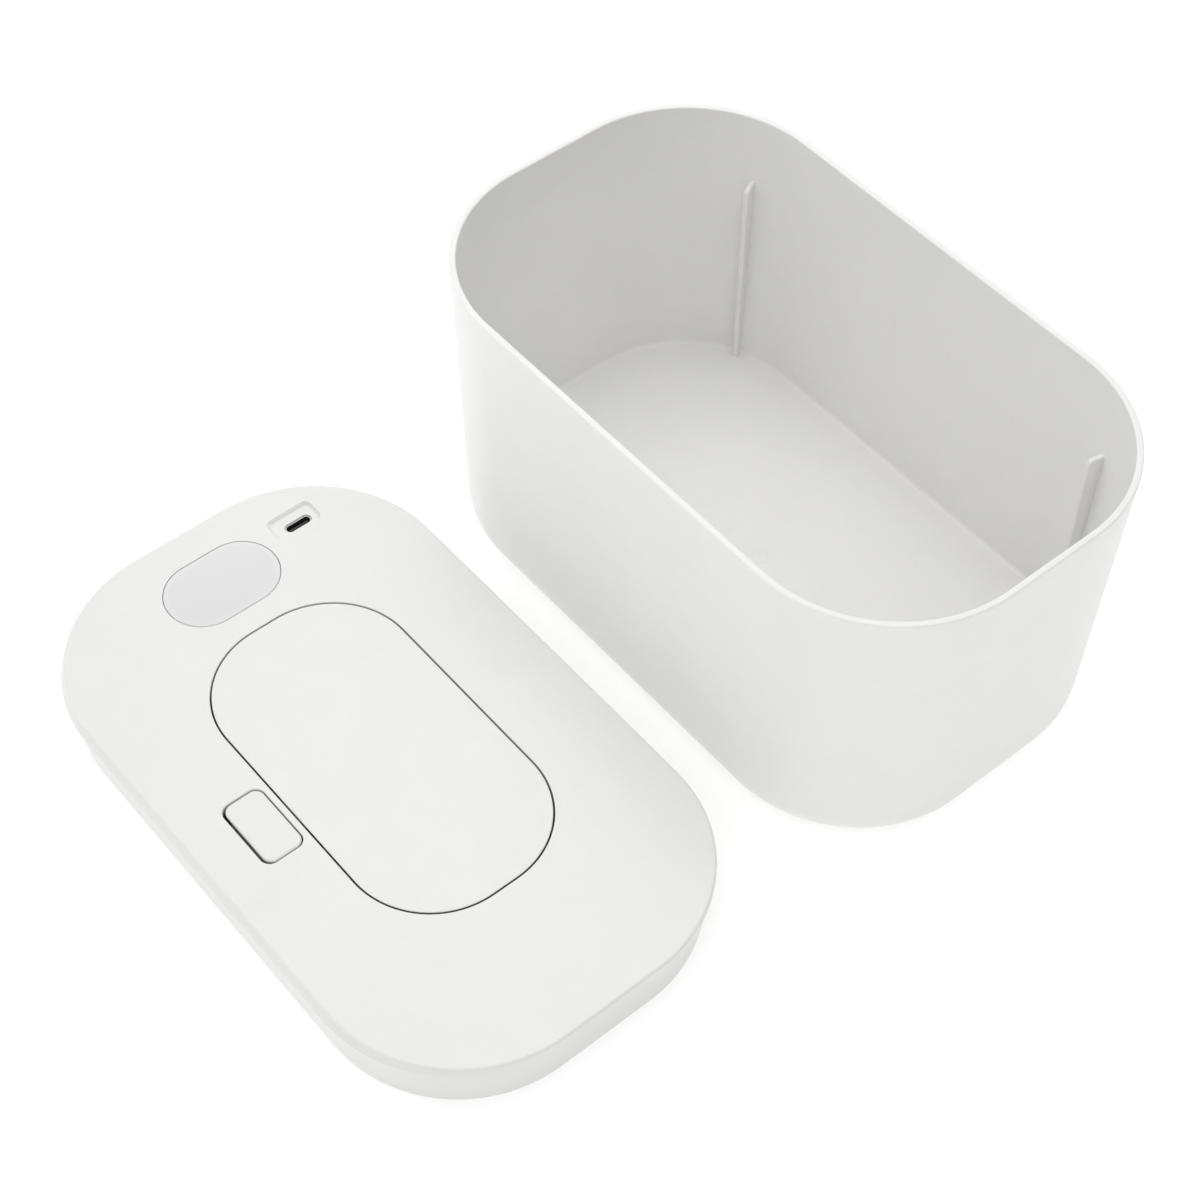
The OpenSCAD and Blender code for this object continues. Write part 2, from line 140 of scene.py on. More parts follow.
def boxes(name, items, offset=(0, 0, 0)):
    """Closed boxes, each given by its lowest and highest corner."""
    b = Build()
    for lo, hi in items:
        m = Matrix.Translation([(p + q) / 2 for p, q in zip(lo, hi)]) @ Matrix.Diagonal([q - p for p, q in zip(lo, hi)] + [1])
        bmesh.ops.create_cube(b.bm, size=1.0, matrix=m)
    return b.object(name, offset, weld=0)


def cylinders(name, items, offset=(0, 0, 0), seg=40):
    """Closed cylinders: (centre, axis letter, radius, length)."""
    b = Build()
    rot = {"x": Matrix.Rotation(math.pi / 2, 4, "Y"), "y": Matrix.Rotation(math.pi / 2, 4, "X"), "z": Matrix.Identity(4)}
    for c, ax, r, h in items:
        bmesh.ops.create_cone(b.bm, cap_ends=True, segments=seg, radius1=r, radius2=r, depth=h,
                              matrix=Matrix.Translation(c) @ rot[ax])
    return b.object(name, offset, weld=0)


def boolean(ob, other, op):
    """Applies a boolean with the exact solver and deletes the other object."""
    m = ob.modifiers.new("b", "BOOLEAN")
    m.object, m.operation, m.solver = other, op, "EXACT"
    m.use_self = op == "UNION"
    apply_all(ob)
    bpy.data.objects.remove(other, do_unlink=True)


def apply_all(ob):
    dg = bpy.context.evaluated_depsgraph_get()
    me = bpy.data.meshes.new_from_object(ob.evaluated_get(dg))
    old = ob.data
    ob.modifiers.clear()
    ob.data = me
    if old.users == 0:
        bpy.data.meshes.remove(old)


def shade(ob, angle=32.0):
    """Smooth shading with sharp edges above the angle, and normals weighted by face area."""
    me = ob.data
    bm = bmesh.new()
    bm.from_mesh(me)
    for f in bm.faces:
        f.smooth = True
    lim = math.radians(angle)
    for e in bm.edges:
        e.smooth = not (len(e.link_faces) != 2 or e.calc_face_angle(0.0) > lim)
    bm.to_mesh(me)
    bm.free()
    m = ob.modifiers.new("wn", "WEIGHTED_NORMAL")
    m.keep_sharp = True
    m.weight = 100
    apply_all(ob)


def bevel(ob, width, segments=3, angle=35.0):
    m = ob.modifiers.new("bv", "BEVEL")
    m.width, m.segments, m.limit_method, m.angle_limit = width * MM, segments, "ANGLE", math.radians(angle)
    m.harden_normals = False
    apply_all(ob)


# ---------------------------------------------------------------- materials


class Mat:
    """A principled material with its nodes."""

    def __init__(self, name):
        self.m = bpy.data.materials.new(name)
        self.m.use_nodes = True
        self.nt = self.m.node_tree
        self.nt.nodes.clear()
        self.out = self.nt.nodes.new("ShaderNodeOutputMaterial")
        self.b = self.nt.nodes.new("ShaderNodeBsdfPrincipled")
        self.nt.links.new(self.b.outputs[0], self.out.inputs[0])
        self.tc = self.nt.nodes.new("ShaderNodeTexCoord")

    def set(self, **kw):
        names = {"metal": "Metallic", "rough": "Roughness", "ior": "IOR", "spec": "Specular IOR Level", "coat": "Coat Weight",
                 "coat_rough": "Coat Roughness", "sheen": "Sheen Weight", "trans": "Transmission Weight", "sss": "Subsurface Weight",
                 "sss_scale": "Subsurface Scale", "alpha": "Alpha", "aniso": "Anisotropic"}
        for k, v in kw.items():
            self.b.inputs[names[k]].default_value = v
        return self

    def node(self, kind, **props):
        n = self.nt.nodes.new(kind)
        for k, v in props.items():
            setattr(n, k, v)
        return n

    def link(self, a, b):
        self.nt.links.new(a, b)

    def noise(self, scale, detail=3.0, rough=0.55, vec=None, dist=0.0):
        n = self.node("ShaderNodeTexNoise")
        n.inputs["Scale"].default_value = scale
        n.inputs["Detail"].default_value = detail
        n.inputs["Roughness"].default_value = rough
        n.inputs["Distortion"].default_value = dist
        self.link(vec or self.tc.outputs["Object"], n.inputs["Vector"])
        return n.outputs["Fac"]

    def ramp(self, fac, stops, interp="LINEAR"):
        n = self.node("ShaderNodeValToRGB")
        cr = n.color_ramp
        cr.interpolation = interp
        while len(cr.elements) < len(stops):
            cr.elements.new(0.5)
        for e, (p, c) in zip(cr.elements, stops):
            e.position = p
            e.color = (*c, 1.0) if len(c) == 3 else c
        self.link(fac, n.inputs[0])
        return n.outputs[0]

    def range(self, fac, a, b, c, d):
        n = self.node("ShaderNodeMapRange")
        self.link(fac, n.inputs[0])
        for i, v in enumerate((a, b, c, d)):
            n.inputs[i + 1].default_value = v
        return n.outputs[0]

    def math(self, op, a, b=None, clamp=False):
        n = self.node("ShaderNodeMath", operation=op, use_clamp=clamp)
        for i, v in enumerate((a, b)):
            if v is None:
                continue
            if isinstance(v, (int, float)):
                n.inputs[i].default_value = v
            else:
                self.link(v, n.inputs[i])
        return n.outputs[0]

    def bump(self, height, strength, dist, normal=None):
        n = self.node("ShaderNodeBump")
        n.inputs["Strength"].default_value = strength
        n.inputs["Distance"].default_value = dist
        self.link(height, n.inputs["Height"])
        if normal is not None:
            self.link(normal, n.inputs["Normal"])
        self.link(n.outputs[0], self.b.inputs["Normal"])
        return n.outputs[0]

    def color(self, sock):
        self.link(sock, self.b.inputs["Base Color"])

    def rough(self, sock):
        self.link(sock, self.b.inputs["Roughness"])


def plastic(name, base, rough=0.42, grain=0.35, tone=0.012, sss=0.0):
    """Moulded plastic: a fine spark-eroded grain, faint flow clouds in the colour, and handling marks in the gloss."""
    t = Mat(name)
    t.set(ior=1.5, spec=0.5)
    if sss:
        t.set(sss=sss, sss_scale=0.002)
    cloud = t.noise(38.0, 4.0, 0.6, dist=0.6)
    speck = t.noise(1500.0, 2.0, 0.5)
    lo = tuple(c * (1 - tone) for c in base)
    hi = tuple(min(1.0, c * (1 + tone)) for c in base)
    col = t.ramp(cloud, [(0.3, lo), (0.7, hi)])
    mix = t.node("ShaderNodeMix", data_type="RGBA", blend_type="MULTIPLY")
    mix.inputs[0].default_value = 0.5
    t.link(col, mix.inputs[6])
    t.link(t.ramp(speck, [(0.25, (0.965, 0.965, 0.965)), (0.6, (1.0, 1.0, 1.0))]), mix.inputs[7])
    t.color(mix.outputs[2])
    marks = t.noise(90.0, 5.0, 0.65, dist=1.2)
    t.rough(t.range(marks, 0.3, 0.75, rough - 0.04, rough + 0.06))
    grain_h = t.noise(2600.0, 3.0, 0.6)
    wave = t.noise(16.0, 2.0, 0.5)
    h = t.math("ADD", t.math("MULTIPLY", grain_h, 0.6), t.math("MULTIPLY", wave, 0.4))
    t.bump(h, grain, 0.00004)
    return t.m


def metal(name, base, rough=0.3, lines=(400, 400, 12)):
    t = Mat(name)
    t.set(metal=1.0)
    mp = t.node("ShaderNodeMapping")
    mp.inputs["Scale"].default_value = lines
    t.link(t.tc.outputs["Object"], mp.inputs["Vector"])
    n = t.noise(8.0, 4.0, 0.6, mp.outputs[0])
    t.color(t.ramp(n, [(0.3, tuple(c * 0.86 for c in base)), (0.7, base)]))
    t.rough(t.range(n, 0.2, 0.8, rough - 0.08, rough + 0.12))
    t.bump(n, 0.2, 0.00002)
    return t.m


def rubber(name, base, rough=0.7):
    t = Mat(name)
    t.set(ior=1.42, spec=0.35, sheen=0.15)
    n = t.noise(700.0, 4.0, 0.65)
    t.color(t.ramp(n, [(0.3, tuple(c * 0.93 for c in base)), (0.7, base)]))
    t.rough(t.range(t.noise(60.0, 3.0), 0.3, 0.7, rough - 0.08, rough + 0.08))
    t.bump(n, 0.4, 0.00006)
    return t.m


WHITE = (0.83, 0.827, 0.817)
m_shell = plastic("white_abs", WHITE, rough=0.33, grain=0.2)
# painted light: the tub uses a paler copy of the lid's white plastic, lifting the tub's inside and walls that the lamps
# leave too dark
m_tub_painted_lighter = plastic("white_abs_tub_painted_lighter", (0.882, 0.879, 0.869), rough=0.36, grain=0.15)
m_door = plastic("white_abs_door", (0.83, 0.827, 0.817), rough=0.33)
m_button = plastic("white_abs_button", (0.825, 0.822, 0.812), rough=0.33)
m_inner = plastic("inner_nylon", (0.70, 0.69, 0.66), rough=0.55)
m_ivory = plastic("ivory_nylon", (0.70, 0.67, 0.60), rough=0.5)
m_black = plastic("black_moulding", (0.02, 0.02, 0.022), rough=0.45)
m_red = plastic("red_insulation", (0.45, 0.03, 0.02), rough=0.4)
m_ceramic = plastic("ceramic_white", (0.70, 0.67, 0.60), rough=0.6)
m_zinc = metal("zinc_steel", (0.62, 0.63, 0.66), 0.3)
m_nickel = metal("nickel_shell", (0.62, 0.625, 0.64), 0.32)
m_spring = metal("spring_steel", (0.5, 0.51, 0.53), 0.25)
m_brass = metal("spring_brass", (0.75, 0.58, 0.28), 0.3)
m_copper = metal("tinned_copper", (0.72, 0.5, 0.36), 0.35)
m_alu = metal("rolled_aluminium", (0.78, 0.79, 0.8), 0.34, lines=(30, 900, 30))
m_can = metal("capacitor_can", (0.3, 0.33, 0.42), 0.4)
m_pad = rubber("grey_silicone", (0.24, 0.245, 0.25), 0.62)
m_sil = rubber("pale_silicone", (0.72, 0.72, 0.71), 0.55)
m_foam = rubber("dark_foam", (0.06, 0.06, 0.065), 0.9)


def film_material():
    """Amber film with the etched element's tracks showing through."""
    t = Mat("amber_film")
    t.set(coat=0.6, coat_rough=0.15)
    w = t.node("ShaderNodeTexWave", wave_type="BANDS", bands_direction="Y", wave_profile="SIN")
    w.inputs["Scale"].default_value = 60.0
    w.inputs["Distortion"].default_value = 0.0
    t.link(t.tc.outputs["Object"], w.inputs["Vector"])
    t.color(t.ramp(w.outputs["Fac"], [(0.42, (0.62, 0.30, 0.06)), (0.5, (0.42, 0.20, 0.05)), (0.58, (0.5, 0.36, 0.16))]))
    t.rough(t.range(t.noise(200.0), 0.3, 0.7, 0.25, 0.4))
    t.bump(w.outputs["Fac"], 0.3, 0.00005)
    return t.m


def board_material():
    """Green board with copper tracks under the mask."""
    t = Mat("green_board")
    t.set(coat=0.3, coat_rough=0.2)
    v = t.node("ShaderNodeTexVoronoi", feature="DISTANCE_TO_EDGE")
    v.inputs["Scale"].default_value = 160.0
    t.link(t.tc.outputs["Object"], v.inputs["Vector"])
    t.color(t.ramp(v.outputs[0], [(0.02, (0.05, 0.26, 0.11)), (0.06, (0.02, 0.14, 0.06))]))
    t.rough(t.range(t.noise(300.0), 0.3, 0.7, 0.3, 0.45))
    t.bump(v.outputs[0], 0.2, 0.00004)
    return t.m


def lens_material():
    """Tinted window: a thin grey outline, a paler band inside it that is a painted highlight of the rounded edge, and a
    soft painted shade falling off across the body.
    """
    t = Mat("tinted_window")
    t.set(ior=1.5, spec=0.5)
    sep = t.node("ShaderNodeSeparateXYZ")
    t.link(t.tc.outputs["Object"], sep.inputs[0])
    x = t.math("SUBTRACT", sep.outputs["X"], (LX - 79.5) * MM)
    y = t.math("SUBTRACT", sep.outputs["Y"], (LY + 0.2) * MM)
    ay = t.math("MAXIMUM", t.math("SUBTRACT", t.math("ABSOLUTE", y), 6.15 * MM), 0.0)
    d = t.math("SQRT", t.math("ADD", t.math("MULTIPLY", x, x), t.math("MULTIPLY", ay, ay)))
    e = t.math("MULTIPLY", t.math("SUBTRACT", 12.5 * MM, d), 1000.0)      # mm from the edge
    edge = t.range(e, 0.0, 4.0, 0.0, 1.0)
    # painted highlight: the paler band about 0.4 to 1.3 mm inside the grey outline stands in for light caught on the
    # lens's rounded edge
    outline_and_painted_highlight = t.ramp(edge, [(0.0, (0.62, 0.62, 0.62)), (0.05, (0.70, 0.70, 0.70)), (0.11, (0.775, 0.775, 0.775)),
                        (0.32, (0.77, 0.77, 0.773)), (0.5, (0.752, 0.752, 0.758))])
    # painted shade: the body colour falls off in one direction across the lens, standing in for how the light falls on
    # it
    painted_shade_axis = t.math("ADD", t.math("MULTIPLY", x, 26.0), t.math("MULTIPLY", y, -9.0))
    body = t.ramp(t.range(painted_shade_axis, -0.35, 0.35, 0.0, 1.0), [(0.0, (1.02, 1.02, 1.015)), (1.0, (0.965, 0.965, 0.97))])
    mix = t.node("ShaderNodeMix", data_type="RGBA", blend_type="MULTIPLY")
    mix.inputs[0].default_value = 1.0
    t.link(outline_and_painted_highlight, mix.inputs[6])
    t.link(body, mix.inputs[7])
    t.color(mix.outputs[2])
    n = t.noise(120.0, 4.0)
    t.rough(t.range(n, 0.3, 0.7, 0.3, 0.36))
    return t.m


m_film = film_material()
m_board = board_material()
m_lens = lens_material()

# ---------------------------------------------------------------- tub
TUB_H = 104.0
TICK = (111.6, 10.85, 108.6, 10.35)     # angle and height at its two ends


def tub_dim(z, k=0.0):
    f = z / TUB_H
    return (200.5 + 7.5 * f - 2 * k, 122.0 + 1.8 * f - 2 * k, 45.2 + 1.1 * f - k)


def make_tub():
    b = Build()
    N, S = 28, 12
    q = []
    # underside: the pad's recess, then the standing edge and the rounded foot
    for l, w, r, z in [(174.5, 96.0, 32.2, 3.2), (174.5, 96.0, 32.2, 0.7), (175.1, 96.6, 32.5, 0.4)]:
        q.append((0, 0, l, w, r, z))
    for k in range(0, 11):
        a = math.radians(90.0 * k / 10)
        z = 0.4 + 9.0 * (1 - math.cos(a))
        q.append((0, 0, *tub_dim(z, 9.0 * (1 - math.sin(a))), z))
    for z in (22, 38, 54, 70, 86, 98):
        q.append((0, 0, *tub_dim(z), z))
    # rim: rounded on both sides with a narrow flat between
    for k in range(0, 6):
        a = math.radians(90.0 * k / 5)
        q.append((0, 0, *tub_dim(TUB_H, 0.62 * (1 - math.cos(a))), TUB_H - 0.62 + 0.62 * math.sin(a)))
    for k in range(0, 6):
        a = math.radians(90.0 * k / 5)
        q.append((0, 0, *tub_dim(TUB_H, 2.1 - 0.55 * (1 - math.sin(a))), TUB_H - 0.55 + 0.55 * math.cos(a)))
    # inner wall: straight land, then drafted to the floor's fillet
    li, wi, ri = 203.8, 119.6, 44.2
    for z in (98, 91, 84.4):
        q.append((0, 0, li, wi, ri, z))
    lb, wb, rb = tub_dim(7.2, 2.2)
    for t in (0.0, 0.2, 0.4, 0.6, 0.8, 0.95):
        z = 84.0 + (8.2 - 84.0) * t
        u = (84.0 - z) / (84.0 - 7.2)
        q.append((0, 0, li + (lb - li) * u, wi + (wb - wi) * u, ri + (rb - ri) * u, z))
    for k in range(0, 8):
        a = math.radians(90.0 * k / 7)
        z = 5.6 + 1.6 * (1 - math.sin(a))
        l, w, r = tub_dim(7.2, 2.2 + 1.6 * (1 - math.cos(a)))
        q.append((0, 0, l, w, r, z))
    first, last = b.loft(q, N, S)
    b.cap(list(reversed(first)))
    # floor with the faint ring left by the mould
    mark = [(2.75, 5.6), (2.62, 5.5), (2.42, 5.5), (2.3, 5.6)]
    rings = [b.ring([(-3.0 + r * math.cos(math.tau * k / 48), 0.9 + r * math.sin(math.tau * k / 48)) for k in range(48)], z) for r, z in mark]
    for p, s in zip(rings, rings[1:]):
        b.join(p, s)
    b.fill(last, rings[0])
    b.cap(rings[-1])
    tub = b.object("tub_shell")

    shade(tub)
    # four blade ribs with softened edges, set into the wall, and a small tick beside the far one
    ribs = Build()
    rin, top = 46.3 - 2.1 - 4.8, 79.3
    prof = [(rin, 5.1), (43.6, 5.1), (45.0, top), (rin + 1.3, top - 0.5), (rin + 0.45, top - 1.1), (rin, top - 2.4)]
    for sx in (-1, 1):
        for sy in (-1, 1):
            ang = math.radians(sy * (91 - sx * 21.3))
            c, s = math.cos(ang), math.sin(ang)
            x0, y0 = sx * (104.0 - 46.3), sy * (61.9 - 46.3)
            side = []
            for t in (-0.8, 0.8):
                side.append([ribs.bm.verts.new((x0 + rho * c - t * s, y0 + rho * s + t * c, z)) for rho, z in prof])
            ribs.bm.faces.new(side[0])
            ribs.bm.faces.new(list(reversed(side[1])))
            ribs.join(side[0], side[1])
    tick = Build()
    a, b2 = math.radians(TICK[0]), math.radians(TICK[2])
    ends = [(-57.7 + 43.1 * math.cos(q), 15.6 + 43.1 * math.sin(q), z) for q, z in ((a, TICK[1]), (b2, TICK[3]))]
    mid = [(u + v) / 2 for u, v in zip(*ends)]
    run = Vector(ends[1]) - Vector(ends[0])
    mt = Matrix.Translation(mid) @ run.to_track_quat("X", "Z").to_matrix().to_4x4() @ Matrix.Diagonal((run.length, 1.5, 0.55, 1))
    bmesh.ops.create_cube(tick.bm, size=1.0, matrix=mt)
    tick = tick.object("tick", weld=0)
    bevel(tick, 0.1, 2)
    ribs = ribs.object("ribs", weld=0)
    bevel(ribs, 0.42, 4)
    shade(ribs, 60)
    bpy.context.view_layer.update()
    bm = bmesh.new()
    bm.from_mesh(tub.data)
    bm.from_mesh(ribs.data)
    bm.from_mesh(tick.data)
    bm.to_mesh(tub.data)
    bm.free()
    bpy.data.objects.remove(ribs, do_unlink=True)
    bpy.data.objects.remove(tick, do_unlink=True)
    tub.data.materials.clear()
    tub.data.materials.append(m_tub_painted_lighter)
    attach(tub, "tub")
    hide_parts("tub")
    return tub


# ---------------------------------------------------------------- lid cover
TOP, UNDER = 20.8, 18.2
OUTER = (0, 0, 208.0, 123.8, 46.3)
DOOR_HOLE = (-0.45, 0.4, 116.5, 63.1, 27.45)
WIN_HOLE = (-79.5, 0.2, 25.3, 37.6, 12.63)
BTN_HOLE = (-0.6, -39.81, 24.2, 13.65, 3.3)
USB = (-85.25, 32.0)


def make_cover():
    b = Build()
    N, S = 26, 12
    prof = [(-7.0, UNDER), (-0.3, UNDER)] + arc(-0.3, UNDER + 0.3, 0.3, -90, 0, 3)[1:] + arc(-1.0, TOP - 1.0, 1.0, 0, 90, 10)
    q = []
    for off, z in prof:
        # the front edge leans in by 1.3 mm and the rear one by 0.5 mm
        t = min(max((z - UNDER - 0.3) / 1.3, 0.0), 1.0)
        q.append((0, 0.4 * t, OUTER[2] + 2 * off, OUTER[3] - 1.8 * t + 2 * off, OUTER[4] - 0.9 * t + off, z))
    o_in, o_top = b.loft(q, N, S)
    # door's well
    prof = [(0.24, TOP)] + arc(0.24, TOP - 0.24, 0.24, 90, 180, 4)[1:] + [(0.0, 17.0), (0.0, 12.0), (0.0, 6.3), (0.3, 6.0), (1.2, 6.0), (1.5, 6.3), (1.5, 12.0), (1.5, UNDER)]
    d_top, d_out = b.stack(DOOR_HOLE, prof, N, S)
    holes_top, holes_under = [d_top], [d_out]
    # window and button
    prof = [(0.16, TOP)] + arc(0.16, TOP - 0.16, 0.16, 90, 180, 4)[1:] + [(0.0, UNDER)]
    t, u = b.stack(WIN_HOLE, prof, 16, 6)
    holes_top.append(t); holes_under.append(u)
    prof = [(0.3, TOP)] + arc(0.3, TOP - 0.3, 0.3, 90, 180, 5)[1:] + [(0.0, UNDER)]
    t, u = b.stack(BTN_HOLE, prof, 12, 6)
    holes_top.append(t); holes_under.append(u)
    # charging pocket: soft lip, sloping walls, floor fillet, slot and cup
    px, py = USB[0] - 1.1, USB[1] - 0.8
    q = []
    for k in range(6):
        a = math.radians(90.0 * k / 5)
        off = 0.26 * (1 - math.sin(a))
        q.append((px, py, 8.4 + 2 * off, 15.6 + 2 * off, 1.9 + off, TOP - 0.26 * (1 - math.cos(a))))
    for k in range(0, 6):
        a = math.radians(90.0 * k / 5)
        off = 0.45 * (1 - math.cos(a))
        q.append((px + 0.05, py + 0.05, 7.6 - 2 * off, 14.8 - 2 * off, 1.7 - 0.7 * off, 19.5 + 0.45 * (1 - math.sin(a))))
    t, u = b.loft(q, 12, 6)
    holes_top.append(t)
    slot = (USB[0], USB[1], 3.5, 9.2, 1.7)
    prof = [(0.12, 19.5), (0.03, 19.44), (0.0, 19.3), (0.0, 16.8)]
    s_top, s_bot = b.stack(slot, prof, 12, 6)
    b.fill(u, s_top)
    prof = [(-0.0, 16.8), (0.0, 17.4), (0.0, UNDER)]
    c_bot, c_top = b.stack((px + 0.3, py + 0.2, 11.4, 19.0, 3.0), prof, 12, 6)
    b.fill(c_bot, s_bot)
    holes_under.append(c_top)
    b.fill(o_top, *holes_top)
    b.fill(o_in, *holes_under)
    ob = b.object("lid_cover_shell", (LX, LY, 0))

    # hooks' slots, the slider's slot, the hinge pin's lugs and the screw posts
    cut = boxes("cut", [((s * 25 - 3.4, 31.3, 4.0), (s * 25 + 3.4, 34.3, UNDER)) for s in (-1, 1)] +
                [((-0.6 - 7.6, -33.2, 11.9), (-0.6 + 7.6, -30.9, 14.3))], (LX, LY, 0))
    boolean(ob, cut, "DIFFERENCE")
    lug = boxes("lug", [((x - 1.4, 36.1, 16.2), (x + 1.4, 39.7, UNDER + 0.4)) for x in (-30, -20, 20, 30)], (LX, LY, 0))
    rnd = cylinders("rnd", [((x, 37.9, 16.2), "x", 1.8, 2.8) for x in (-30, -20, 20, 30)], (LX, LY, 0), 40)
    boolean(lug, rnd, "UNION")
    bore = cylinders("bore", [((0, 37.9, 16.2), "x", 0.75, 80)], (LX, LY, 0), 24)
    boolean(lug, bore, "DIFFERENCE")
    boolean(ob, lug, "UNION")
    at = [(-40, 46), (40, 46), (-40, -46), (40, -46), (84, 26), (84, -26), (-74, -38), (-66, 47)]
    post = cylinders("post", [((x, y, 12.2), "z", 3.0, 12.4) for x, y in at], (LX, LY, 0), 32)
    pilot = cylinders("pilot", [((x, y, 8.0), "z", 1.12, 12.0) for x, y in at], (LX, LY, 0), 20)
    boolean(post, pilot, "DIFFERENCE")
    boolean(ob, post, "UNION")
    shade(ob)
    ob.data.materials.clear()
    ob.data.materials.append(m_shell)
    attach(ob, "lid")
    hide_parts("lid_cover")
    return ob


# ---------------------------------------------------------------- door
def make_door():
    b = Build()
    N, S = 26, 12
    D = (-0.45, 0.4, 115.4, 62.0, 26.9)
    prof = [(-1.1, 18.6), (-1.1, 20.2), (-1.0, 20.3), (-0.1, 20.38), (0.0, 20.46)] + arc(-0.26, TOP - 0.26, 0.26, 0, 90, 5)
    lo, hi = b.stack(D, prof, N, S)
    b.cap(hi)
    b.cap(list(reversed(lo)))
    ob = b.object("flip_door_shell", (LX, LY, 0))

    # hooks: a C from the plate's underside round to the pin
    hk = Build()
    hy, hz = 37.9, 16.2
    for s in (-1, 1):
        x0, x1 = s * 25 - 2.8, s * 25 + 2.8
        loop = []
        for k in range(0, 29):
            a = math.radians(158 + 130.0 * k / 28)
            loop.append((hy + 7.7 * math.cos(a), hz + 7.7 * math.sin(a)))
        for k in range(28, -1, -1):
            a = math.radians(158 + 130.0 * k / 28)
            loop.append((hy + 9.5 * math.cos(a), hz + 9.5 * math.sin(a)))
        fr = [hk.bm.verts.new((x0, y, z)) for y, z in loop]
        bk = [hk.bm.verts.new((x1, y, z)) for y, z in loop]
        n = len(fr)
        hk.join(fr, bk)
        half = n // 2
        for side in (fr, bk):
            for i in range(half - 1):
                hk.bm.faces.new((side[i], side[i + 1], side[n - 2 - i], side[n - 1 - i]))
    hooks = hk.object("hooks", (LX, LY, 0), weld=0)
    web = Build()
    a = math.radians(278)
    ca, sa = math.cos(a), math.sin(a)
    for s in (-1, 1):
        x0, x1 = s * 25 - 2.7, s * 25 + 2.7
        vs = []
        for x in (x0, x1):
            for u, v in ((0, -0.95), (8.7, -0.95), (8.7, 0.95), (0, 0.95)):
                vs.append(web.bm.verts.new((x, hy + u * ca - v * sa, hz + u * sa + v * ca)))
        for f in ((0, 1, 2, 3), (7, 6, 5, 4), (0, 4, 5, 1), (1, 5, 6, 2), (2, 6, 7, 3), (3, 7, 4, 0)):
            web.bm.faces.new([vs[i] for i in f])
    web = web.object("web", (LX, LY, 0), weld=0)
    boolean(hooks, web, "UNION")
    kn = cylinders("kn", [((s * 25, hy, hz), "x", 1.75, 5.6) for s in (-1, 1)], (LX, LY, 0), 40)
    boolean(hooks, kn, "UNION")
    bar = cylinders("bar", [((0, hy - 0.38, hz - 3.08), "x", 0.8, 45)], (LX, LY, 0), 24)
    boolean(hooks, bar, "UNION")
    bore = cylinders("bore", [((0, hy, hz), "x", 0.8, 80)], (LX, LY, 0), 24)
    boolean(hooks, bore, "DIFFERENCE")
    boolean(ob, hooks, "UNION")
    catch = boxes("catch", [((-6.6, -29.9, 10.9), (5.4, -28.5, 18.8))], (LX, LY, 0))
    lip = boxes("lip", [((-6.6, -30.4, 10.9), (5.4, -29.5, 12.0))], (LX, LY, 0))
    boolean(catch, lip, "UNION")
    bevel(catch, 0.2, 2)
    boolean(ob, catch, "UNION")
    shade(ob)
    ob.data.materials.clear()
    ob.data.materials.append(m_door)
    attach(ob, "flip_door")
    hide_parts("flip_door")
    return ob


# ---------------------------------------------------------------- button
def make_button():
    b = Build()
    B = (-0.65, -39.53, 23.3, 12.4, 3.0)
    prof = [(-2.4, 19.0), (-2.4, 17.2), (-2.2, 17.0), (-1.6, 17.0), (-1.4, 17.2), (-1.4, 19.6), (-1.2, 19.8), (-0.1, 19.86), (0.0, 19.94)] + arc(-0.65, TOP - 0.7, 0.65, 0, 90, 7)
    lo, hi = b.stack(B, prof, 14, 8)
    b.cap(hi)
    b.cap(list(reversed(lo)))
    ob = b.object("button_cap", (LX, LY, 0))
    wing = boxes("wing", [((-0.6 + s * 11.9 - 2.9, -42.01, 16.6), (-0.6 + s * 11.9 + 2.9, -37.61, 17.6)) for s in (-1, 1)], (LX, LY, 0))
    bevel(wing, 0.2, 2)
    boolean(ob, wing, "UNION")
    f = Build()
    p = [(-25 - 19.6, 19.6), (-22.8 - 19.6, 19.6), (-22.8 - 11.2, 11.2), (-25 - 11.2, 11.2)]
    fr = [f.bm.verts.new((-0.6 - 4.2, y, z)) for y, z in p]
    bk = [f.bm.verts.new((-0.6 + 4.2, y, z)) for y, z in p]
    f.join(fr, bk)
    f.bm.faces.new(fr)
    f.bm.faces.new(list(reversed(bk)))
    finger = f.object("finger", (LX, LY, 0), weld=0)
    bevel(finger, 0.2, 2)
    boolean(ob, finger, "UNION")
    shade(ob)
    ob.data.materials.clear()
    ob.data.materials.append(m_button)
    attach(ob, "latch_button")
    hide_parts("latch_button")
    return ob


# ---------------------------------------------------------------- window
def make_window():
    b = Build()
    W = (-79.5, 0.2, 25.0, 37.3, 12.48)
    prof = [(1.8, 17.0), (1.95, 17.15), (1.95, 18.0), (1.8, 18.15), (0.0, 18.15), (0.0, 19.6)] + arc(-0.3, TOP - 0.34, 0.3, 0, 90, 5)
    lo, hi = b.stack(W, prof, 24, 8)
    b.cap(hi)
    b.cap(list(reversed(lo)))
    ob = b.object("window_lens", (LX, LY, 0))
    shade(ob)
    ob.data.materials.clear()
    ob.data.materials.append(m_lens)
    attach(ob, "lid")
    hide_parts("display_window")
    return ob


